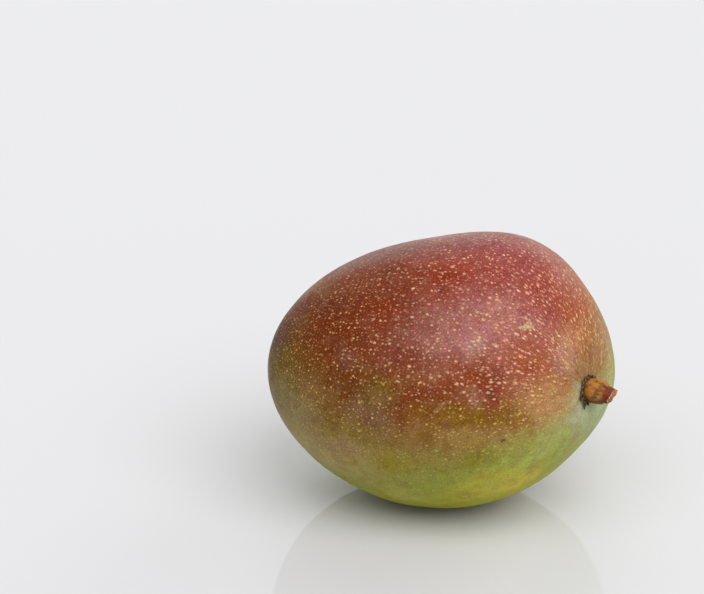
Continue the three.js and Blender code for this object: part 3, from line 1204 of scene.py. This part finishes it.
@dataclass
class Fruit:
    """The whole fruit's skin, as one smooth closed surface over its CAD form."""

    line: StemLine
    slices: int = 160
    rings: int = 112
    wrap_radius: float = 75 * MM
    merge_gap: float = 0.002 * MM
    socket_radius: float = 4.4 * MM
    socket_lip: float = 0.6 * MM
    smoothing_passes: int = 8
    swells: Span = (14.0, 0.5)
    swell_middle: float = 0.8
    rest_height: float = 0.15 * MM

    def build(self) -> Piece:
        """Builds the fruit.

        Returns:
            The finished piece, which replaces its CAD node.
        """
        form = self.close_socket(self.copy_form())
        skin = self.wrap(form)
        bpy.data.objects.remove(form)
        apply_modifier(skin, "SMOOTH", factor=0.5, iterations=self.smoothing_passes)
        roughen(skin, Relief.SOFT_LUMPS, *self.swells, self.swell_middle)
        apply_modifier(skin, "SUBSURF", levels=1, render_levels=1)
        self.set_down(skin)
        smooth_shade(skin)
        return skin

    def copy_form(self) -> Piece:
        """Copies the CAD node and merges its loose triangles into one skin.

        Returns:
            The copy.
        """
        form = own_copy(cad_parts["fruit"], "form")
        with editing(form, Element.VERTEX):
            bpy.ops.mesh.remove_doubles(threshold=self.merge_gap)
        return form

    def close_socket(self, form: Piece) -> Piece:
        """Removes the stem's blind hole from the copied form and closes the skin over it.

        Args:
            form: The copied form.

        Returns:
            The form, closed.
        """

        def in_socket(place: Vector, normal: Vector) -> bool:
            """Says whether a face is in the hole or on its rim.

            Args:
                place: The face's middle.
                normal: The face's normal.

            Returns:
                Whether it goes.
            """
            gap = place - self.line.seat
            depth = gap.dot(self.line.axis)
            across = (gap - self.line.axis * depth).length
            return across < self.socket_radius and depth < self.socket_lip

        with editing(form, Element.FACE, in_socket):
            bpy.ops.mesh.delete(type="FACE")
            bpy.ops.mesh.select_mode(type="EDGE")
            bpy.ops.mesh.select_all(action="DESELECT")
            bpy.ops.mesh.select_non_manifold()
            bpy.ops.mesh.edge_face_add()
            bpy.ops.mesh.quads_convert_to_tris()
        return form

    def wrap(self, form: Piece) -> Piece:
        """Shrinks a round ball, with its pole at the stem, onto the fruit's form.

        Args:
            form: The form.

        Returns:
            The skin.
        """
        low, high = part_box("fruit")
        middle = (low + high) / 2
        pole = (self.line.seat - middle).normalized()
        skin = primitive(
            bpy.ops.mesh.primitive_uv_sphere_add,
            "fruit_skin",
            segments=self.slices,
            ring_count=self.rings,
            radius=self.wrap_radius,
            location=middle,
            rotation=pole.to_track_quat("Z", "X").to_euler(),
        )
        apply_modifier(
            skin,
            "SHRINKWRAP",
            target=form,
            wrap_method="PROJECT",
            use_negative_direction=True,
            use_positive_direction=False,
        )
        return skin

    def set_down(self, skin: Piece) -> None:
        """Lowers the skin to the surface, and flattens the spot that it rests on.

        Args:
            skin: The skin.
        """
        lowest = min(vertex.co.z for vertex in skin.data.vertices)
        make_active(skin)
        bpy.ops.transform.translate(value=(0, 0, -lowest - self.rest_height / 2))
        place_in_mesh(skin)

        def rests(place: Vector, normal: Vector) -> bool:
            """Says whether a vertex is in the flat spot."""
            return place.z < self.rest_height

        with editing(skin, Element.VERTEX, rests) as count:
            bpy.ops.transform.resize(value=(1, 1, 0), center_override=(0, 0, 0))
        log.info("fruit: rests on %d vertices", count)


# ------------------------------------------------------------------ stem


@dataclass
class Stem:
    """The short stem: a fat knuckle, a narrower neck and a slanting cut end."""

    line: StemLine
    sides: int = 64
    rings: tuple[tuple[float, float], ...] = (
        (-1.5, 3.2),
        (-0.5, 3.25),
        (0.4, 3.35),
        (1.2, 3.65),
        (2.0, 3.95),
        (2.9, 4.1),
        (3.8, 4.1),
        (4.7, 4.05),
        (5.5, 3.85),
        (6.1, 3.45),
        (6.6, 3.05),
        (7.2, 2.85),
        (11.6, 2.3),
    )
    length: float = 9.3 * MM
    cut_angle_deg: float = 24.0
    edge_round: float = 0.12 * MM
    # Width and sinking of the steps of the cut end, from its rim in to its pith.
    cut_steps: tuple[Span, ...] = ((0.4, 0.0), (0.2, -0.2), (0.9, 0.0), (0.3, 0.1))
    # Size and height of the knuckle's lumps, and of the finer creases.
    lumps: Span = (2.6, 0.95)
    creases: Span = (0.9, 0.3)

    def build(self) -> Piece:
        """Builds the stem.

        Returns:
            The finished piece, which replaces its CAD node.
        """
        rod = self.draw_rod()
        self.cut(rod)
        apply_modifier(
            rod, "BEVEL", width=self.edge_round, segments=2, limit_method="ANGLE", angle_limit=0.6
        )
        apply_modifier(rod, "SUBSURF", levels=1, render_levels=1)
        roughen(rod, Relief.SOFT_LUMPS, *self.lumps)
        roughen(rod, Relief.CREASED, *self.creases)
        rod.matrix_world = self.line.stand()
        place_in_mesh(rod)
        smooth_shade(rod, 50.0)
        return rod

    def draw_rod(self) -> Piece:
        """Draws the round rod out, ring by ring, from its root.

        Returns:
            The rod, standing on the origin along +Z.
        """
        height, radius = self.rings[0]
        rod = primitive(
            bpy.ops.mesh.primitive_circle_add,
            "stem_wood",
            vertices=self.sides,
            radius=radius * MM,
            fill_type="NGON",
            location=(0, 0, height * MM),
        )
        with editing(rod, Element.FACE):
            for next_height, next_radius in self.rings[1:]:
                rise = {"value": (0, 0, (next_height - height) * MM)}
                bpy.ops.mesh.extrude_region_move(TRANSFORM_OT_translate=rise)
                spread = next_radius / radius
                centre = (0, 0, next_height * MM)
                bpy.ops.transform.resize(value=(spread, spread, 1), center_override=centre)
                height, radius = next_height, next_radius
            bpy.ops.mesh.select_all(action="SELECT")
            bpy.ops.mesh.normals_make_consistent(inside=False)
        return rod

    def cut(self, rod: Piece) -> None:
        """Cuts the end on the slant, and sinks the pith a little inside its rim.

        Args:
            rod: The rod.
        """
        lean = math.radians(self.cut_angle_deg)
        middle = Vector((0, 0, self.length))
        way = Vector((0, -math.sin(lean), math.cos(lean)))
        with editing(rod, Element.FACE):
            bpy.ops.mesh.bisect(plane_co=middle, plane_no=way, use_fill=True, clear_outer=True)

        def on_cut(place: Vector, normal: Vector) -> bool:
            """Says whether a face is the cut end."""
            return abs((place - middle).dot(way)) < 0.01 * MM and normal.dot(way) > 0.99

        with editing(rod, Element.FACE, on_cut) as count:
            for width, sinking in self.cut_steps:
                bpy.ops.mesh.inset(thickness=width * MM, depth=sinking * MM)
            bpy.ops.mesh.poke()
        log.info("stem: %d cut face", count)


# ------------------------------------------------------------------ calyx


@dataclass(frozen=True)
class Scale:
    """One dried scale: where it is round the stem, its size in millimetres and its pose."""

    round_deg: float
    length: float
    width: float
    lift_deg: float
    curl_deg: float
    start: float


@dataclass
class Calyx:
    """The ragged ring of dried scales round the stem's foot."""

    line: StemLine
    skin: Piece
    ring_radius: float = 4.1 * MM
    ring_thickness: float = 0.55 * MM
    scale_count: int = 22
    full_side_deg: float = 190.0
    seed: int = 7
    thickness: float = 0.2 * MM
    row_widths: tuple[float, ...] = (0.75, 1.0, 0.95, 0.8, 0.62, 0.4, 0.14)
    hanging: tuple[Scale, ...] = (
        Scale(-126.0, 3.1, 1.9, 12.0, -25.0, 4.1),
        Scale(-146.0, 2.1, 1.3, 22.0, -50.0, 4.2),
        Scale(-110.0, 1.6, 1.0, 30.0, 30.0, 3.9),
    )

    def build(self) -> Piece:
        """Builds the calyx.

        Returns:
            The finished piece, which replaces its CAD node.
        """
        tree = BVHTree.FromObject(self.skin, bpy.context.evaluated_depsgraph_get())
        master = self.model_scale()
        scales = [self.lay_scale(master, scale, tree) for scale in self.draw_scales()]
        bpy.data.objects.remove(master)
        ring = self.lay_ring(tree)
        calyx = joined([ring, *scales], "calyx_scales")
        smooth_shade(calyx, 60.0)
        return calyx

    def draw_scales(self) -> list[Scale]:
        """Draws lots for the scales round the ring, and adds the ones that hang away.

        Returns:
            Every scale.
        """
        luck = random.Random(self.seed)
        pitch = 360 / self.scale_count
        scales = []
        for i in range(self.scale_count):
            round_deg = (i + luck.uniform(-0.3, 0.3)) * pitch
            growth = 0.65 + 0.7 * self.fullness(self.line.outward(round_deg))
            scales.append(
                Scale(
                    round_deg=round_deg,
                    length=luck.uniform(0.9, 1.7) * growth,
                    width=luck.uniform(0.7, 1.5),
                    lift_deg=luck.uniform(-5, 35),
                    curl_deg=luck.uniform(-40, 60),
                    start=luck.uniform(3.7, 4.3),
                )
            )
        return [*scales, *self.hanging]

    def model_scale(self) -> Piece:
        """Models one flat scale, a millimetre long and wide, that points along +Y.

        Returns:
            The flat scale.
        """
        rows = len(self.row_widths)
        scale = primitive(
            bpy.ops.mesh.primitive_grid_add,
            "scale",
            x_subdivisions=4,
            y_subdivisions=rows - 1,
            size=MM,
            location=(0, MM / 2, 0),
        )
        for row, width in enumerate(self.row_widths):
            level = row / (rows - 1) * MM

            def in_row(place: Vector, normal: Vector, level: float = level) -> bool:
                """Says whether a vertex is in the row."""
                return abs(place.y - level) < 0.01 * MM

            with editing(scale, Element.VERTEX, in_row):
                bpy.ops.transform.resize(value=(width, 1, 1), center_override=(0, level, 0))
        return scale

    def lay_scale(self, master: Piece, scale: Scale, tree: BVHTree) -> Piece:
        """Sizes, curls and thickens one copy of the scale, and lays it on the skin.

        Args:
            master: The flat scale.
            scale: Its place, size and pose.
            tree: The skin, for finding places on it.

        Returns:
            The scale in its place.
        """
        copy = own_copy(master, f"scale_{scale.round_deg:.0f}")
        copy.scale = (scale.width, scale.length, 1)
        place_in_mesh(copy)
        apply_modifier(
            copy,
            "SIMPLE_DEFORM",
            deform_method="BEND",
            deform_axis="X",
            angle=math.radians(scale.curl_deg),
        )
        apply_modifier(copy, "SOLIDIFY", thickness=self.thickness, offset=0.0)
        roughen(copy, Relief.SOFT_LUMPS, 0.7, 0.35)
        apply_modifier(copy, "SUBSURF", levels=1, render_levels=1)
        outward = self.line.outward(scale.round_deg)
        place, normal = self.skin_under(outward * scale.start * MM, tree)
        along = (outward - normal * outward.dot(normal)).normalized()
        lift = Matrix.Rotation(math.radians(scale.lift_deg), 3, "X")
        turn = Matrix((along.cross(normal), along, normal)).transposed() @ lift
        copy.matrix_world = Matrix.Translation(place + normal * 0.25 * MM) @ turn.to_4x4()
        place_in_mesh(copy)
        return copy

    def lay_ring(self, tree: BVHTree) -> Piece:
        """Makes the rough ring that the scales grow from, and lays it on the skin.

        Args:
            tree: The skin, for finding places on it.

        Returns:
            The ring.
        """
        ring = primitive(
            bpy.ops.mesh.primitive_torus_add,
            "ring",
            major_radius=self.ring_radius,
            minor_radius=self.ring_thickness,
            major_segments=88,
            minor_segments=12,
        )
        roughen(ring, Relief.SOFT_LUMPS, 0.9, 0.9)
        roughen(ring, Relief.CREASED, 0.45, 0.35)
        ring.matrix_world = self.line.stand()
        place_in_mesh(ring)
        for vertex in ring.data.vertices:
            gap = vertex.co - self.line.seat
            height = gap.dot(self.line.axis)
            across = gap - self.line.axis * height
            middle = across.normalized() * self.ring_radius
            thickness = 0.5 + 0.5 * self.fullness(across)
            place, normal = self.skin_under(middle + (across - middle) * thickness, tree)
            vertex.co = place + normal * (height * thickness + 0.1 * MM)
        return ring

    def fullness(self, across: Vector) -> float:
        """Says, from 0 to 1, how full the calyx is on one side of the stem."""
        return 0.5 + 0.5 * across.normalized().dot(self.line.outward(self.full_side_deg))

    def skin_under(self, offset: Vector, tree: BVHTree) -> tuple[Vector, Vector]:
        """Finds the skin under a place that is given by its offset from the stem's line.

        Args:
            offset: The offset from the seat, square to the stem.
            tree: The skin.

        Returns:
            The place on the skin and the skin's normal there.
        """
        start = self.line.seat + offset + self.line.axis * 20 * MM
        place, normal, _, _ = tree.ray_cast(start, -self.line.axis)
        return place, normal


# ------------------------------------------------------------------ studio


@dataclass(frozen=True)
class SoftLight:
    """Even light from one wide patch of the studio's ceiling or wall.

    The bearing is counted in degrees from the camera's right hand, towards the camera.
    """

    name: str
    bearing_deg: float
    height_deg: float
    width_deg: float
    strength: float


@dataclass
class Studio:
    """Pale glossy floor, soft lamps and the camera."""

    azimuth_deg: float = 18.6
    elevation_deg: float = 21.5
    distance: float = 0.8036
    frame_width: int = 704
    frame_height: int = 594
    middle_pixel: tuple[float, float] = (450.0, 367.2)
    focal_pixels: float = 2400.0
    sensor_width: float = 36.0
    floor_size: float = 8.0
    lamps: tuple[SoftLight, ...] = (
        SoftLight("key", 55.0, 52.0, 50.0, 1.95),
        SoftLight("left fill", 130.0, 58.0, 45.0, 0.85),
        SoftLight("back light", -95.0, 48.0, 30.0, 0.35),
        SoftLight("rear side light", -45.0, 22.0, 30.0, 0.6),
    )
    wall_glow: float = 0.9
    dim_glow: float = 0.45
    dim_side_deg: float = 165.0
    ceiling_glow: float = 0.36
    wall_top_deg: float = 30.0
    ceiling_start_deg: float = 60.0
    floor_colour: Colour = (0.585, 0.585, 0.598)
    floor_roughness: float = 0.04
    floor_ior: float = 1.45

    def build(self) -> None:
        """Makes the floor, the lamps, the sky and the camera."""
        low, high = (Vector(corner) for corner in cad_box)
        middle = (low + high) / 2
        self.build_camera(middle)
        self.build_floor()
        for lamp in self.lamps:
            self.build_lamp(lamp)
        self.build_sky()

    def build_camera(self, middle: Vector) -> None:
        """Sets the camera so that the object's middle falls on its place in the frame.

        Args:
            middle: Middle of the object's box.
        """
        azimuth = math.radians(self.azimuth_deg)
        elevation = math.radians(self.elevation_deg)
        right = Vector((math.cos(azimuth), math.sin(azimuth), 0))
        level = Vector((-math.sin(azimuth), math.cos(azimuth), 0))
        forward = level * math.cos(elevation) - Vector((0, 0, math.sin(elevation)))
        up = right.cross(forward)
        across = (self.middle_pixel[0] - self.frame_width / 2) / self.focal_pixels
        below = (self.middle_pixel[1] - self.frame_height / 2) / self.focal_pixels
        lens = bpy.data.cameras.new("camera")
        lens.sensor_width = self.sensor_width
        lens.lens = self.focal_pixels / self.frame_width * self.sensor_width
        camera = bpy.data.objects.new("camera", lens)
        camera.location = middle - self.distance * (forward + right * across - up * below)
        turn = Matrix((right, up, -forward)).transposed()
        camera.rotation_euler = turn.to_euler()
        bpy.context.scene.collection.objects.link(camera)
        bpy.context.scene.camera = camera

    def build_floor(self) -> None:
        """Makes the pale glossy surface that the fruit lies on."""
        floor = primitive(bpy.ops.mesh.primitive_plane_add, "floor", size=self.floor_size)
        material = bpy.data.materials.new("pale_gloss")
        material.use_nodes = True
        shader = material.node_tree.nodes["Principled BSDF"]
        shader.inputs["Base Color"].default_value = rgba(self.floor_colour)
        shader.inputs["Roughness"].default_value = self.floor_roughness
        shader.inputs["IOR"].default_value = self.floor_ior
        floor.data.materials.append(material)

    def build_lamp(self, lamp: SoftLight) -> None:
        """Hangs one wide, even light.

        Args:
            lamp: The light.
        """
        light = bpy.data.lights.new(lamp.name, "SUN")
        light.angle = math.radians(lamp.width_deg)
        light.energy = lamp.strength
        holder = bpy.data.objects.new(lamp.name, light)
        bearing = math.radians(self.azimuth_deg - lamp.bearing_deg)
        height = math.radians(lamp.height_deg)
        level = Vector((math.cos(bearing), math.sin(bearing), 0))
        source = level * math.cos(height) + Vector((0, 0, math.sin(height)))
        holder.rotation_euler = (-source).to_track_quat("-Z", "Y").to_euler()
        bpy.context.scene.collection.objects.link(holder)

    def build_sky(self) -> None:
        """Sets the surroundings: pale walls, dimmer on one side, and a darker ceiling."""
        world = bpy.data.worlds.new("surroundings")
        world.use_nodes = True
        bench = NodeBench(world.node_tree)
        way = bench.add("TexCoord", {}).outputs["Generated"]
        bearing = math.radians(self.azimuth_deg - self.dim_side_deg)
        side = bench.vector("DOT_PRODUCT", way, (math.cos(bearing), math.sin(bearing), 0))
        wall = bench.ease(side, 0.1, 0.8, self.wall_glow, self.dim_glow)
        wall_top = math.sin(math.radians(self.wall_top_deg))
        ceiling_start = math.sin(math.radians(self.ceiling_start_deg))
        rise = bench.part(way, 2)
        glow = bench.ease(rise, wall_top, ceiling_start, wall, self.ceiling_glow)
        bench.feed(world.node_tree.nodes["Background"].inputs["Color"], glow)
        bpy.context.scene.world = world
        bpy.context.scene.view_settings.view_transform = "Standard"


def main() -> None:
    """Builds the studio and the mango, piece by piece."""
    logging.basicConfig(level=logging.INFO, format="%(name)s: %(message)s")
    Studio().build()
    line = StemLine.from_frame()
    effects = Effects()
    skin = Fruit(line).build()
    finish_piece(skin, "fruit", SkinFinish(line, effects).build())
    wood = Stem(line).build()
    finish_piece(wood, "stem", StemFinish(line).build())
    scales = Calyx(line, skin).build()
    finish_piece(scales, "calyx", CalyxFinish(effects).build())


def finish_piece(piece: Piece, node: str, material: Material) -> None:
    """Dresses a piece and puts it in its CAD node's place.

    Args:
        piece: The finished piece.
        node: The CAD node that it replaces.
        material: Its finish.
    """
    piece.data.materials.clear()
    piece.data.materials.append(material)
    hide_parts(node)
    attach(piece, BODY)
    log.info("%s: %d polygons, replaces %s", piece.name, len(piece.data.polygons), node)


if __name__ == "__main__":
    main()
